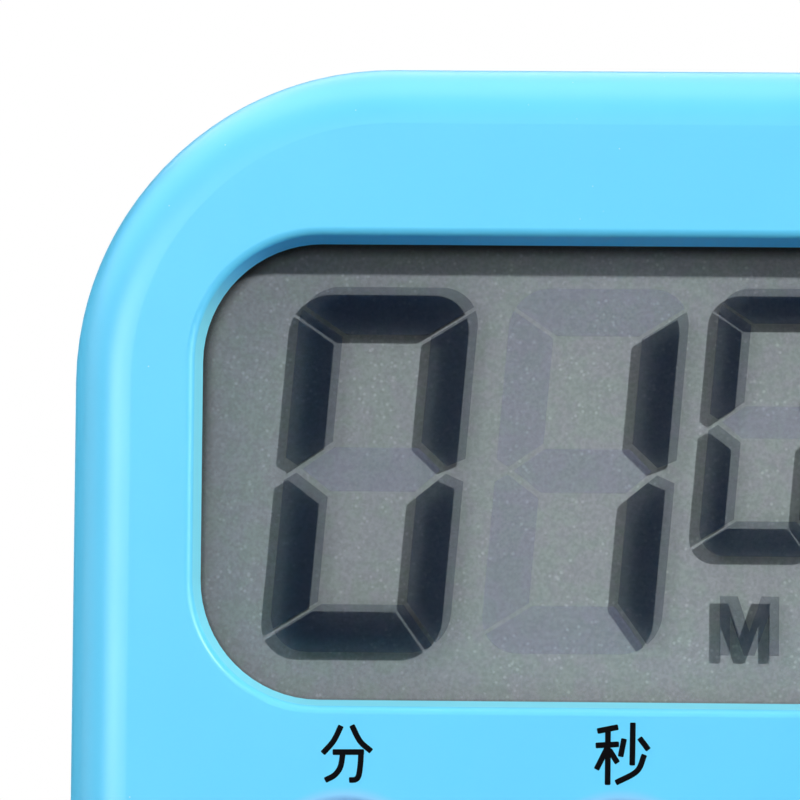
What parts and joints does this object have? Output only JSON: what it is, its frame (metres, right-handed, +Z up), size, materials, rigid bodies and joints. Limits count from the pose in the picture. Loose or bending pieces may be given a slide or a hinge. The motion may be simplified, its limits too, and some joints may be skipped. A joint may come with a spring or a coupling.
{
  "type": "digital kitchen timer",
  "caption": "Square round-cornered digital kitchen timer with a recessed display, press keys, a fold-out stand, back magnets, a hanging hole and a battery bay.",
  "frame": {"origin": "bottom centre of the whole timer, standing upright on its lower edge", "axes": "+Z up, +X to the right of the face, -Y the way the face looks, +Y out of the back"},
  "size_m": [0.065, 0.0196, 0.065],
  "materials": {
    "case_plastic": "glossy sky-blue moulding",
    "key_plastic": "pale cool grey moulding",
    "carbon_rubber": "carbon-loaded rubber",
    "silicone": "translucent white silicone",
    "polariser_film": "matt film",
    "display_glass": "clear thin glass",
    "segment_dark": "dark liquid-crystal segment",
    "segment_faint": "unlit liquid-crystal segment",
    "seal_glue": "epoxy",
    "reflector_film": "grey metallic-grained film",
    "foam": "black foam",
    "zebra_rubber": "layered rubber",
    "board_laminate": "green laminate",
    "black_epoxy": "black epoxy",
    "plated_steel": "nickel-plated steel",
    "chip_ceramic": "chip parts",
    "cell_jacket": "printed metal jacket",
    "wire_sleeve": "soft sleeve",
    "sounder_brass": "plain brass",
    "sounder_ceramic": "silvered ceramic",
    "magnet_plating": "nickel plating"
  },
  "bodies": {
    "case": {"front_shell": "case_plastic", "rear_cover": "case_plastic", "rubber_keypad": "silicone", "lcd_front_polariser": "polariser_film", "lcd_front_glass": "display_glass", "lcd_segments_on": "segment_dark", "lcd_segments_off": "segment_faint", "lcd_cell_seal": "seal_glue", "lcd_rear_glass": "display_glass", "lcd_reflector": "reflector_film", "lcd_backing_foam": "foam", "zebra_connector": "zebra_rubber", "circuit_board": "board_laminate", "controller_blob": "black_epoxy", "quartz_crystal": "plated_steel", "chip_components": "chip_ceramic", "board_screws": "plated_steel", "case_screws": "plated_steel", "aaa_cell": "cell_jacket", "battery_contact_positive": "plated_steel", "battery_contact_negative": "plated_steel", "battery_wires": "wire_sleeve", "buzzer_disc": "sounder_brass", "buzzer_ceramic": "sounder_ceramic", "buzzer_wires": "wire_sleeve", "magnets": "magnet_plating"},
    "minute_button": {"minute_key": "key_plastic", "minute_contact_pill": "carbon_rubber"},
    "second_button": {"second_key": "key_plastic", "second_contact_pill": "carbon_rubber"},
    "start_stop_button": {"start_stop_key": "key_plastic", "start_stop_contact_pill": "carbon_rubber"},
    "battery_door": {"battery_door": "case_plastic"},
    "stand": {"stand": "case_plastic"}
  },
  "joints": [
    {"name": "minute_key_press", "type": "slide", "parent": "case", "child": "minute_button", "axis": [0, 1, 0], "range_m": [0, 0.00085], "stiffness_N_per_m": 1500, "deforming": ["rubber_keypad"]},
    {"name": "second_key_press", "type": "slide", "parent": "case", "child": "second_button", "axis": [0, 1, 0], "range_m": [0, 0.00085], "stiffness_N_per_m": 1500, "deforming": ["rubber_keypad"]},
    {"name": "start_stop_key_press", "type": "slide", "parent": "case", "child": "start_stop_button", "axis": [0, 1, 0], "range_m": [0, 0.00085], "stiffness_N_per_m": 1500, "deforming": ["rubber_keypad"]},
    {"name": "stand_fold", "type": "hinge", "parent": "case", "child": "stand", "pos_m": [0, 0.0086, 0.0085], "axis": [-1, 0, 0], "range_deg": [0, 95]},
    {"name": "battery_door_tip", "type": "hinge", "parent": "case", "child": "battery_door", "pos_m": [0, 0.0098, 0.0406], "axis": [-1, 0, 0], "range_deg": [0, 75]}
  ]
}
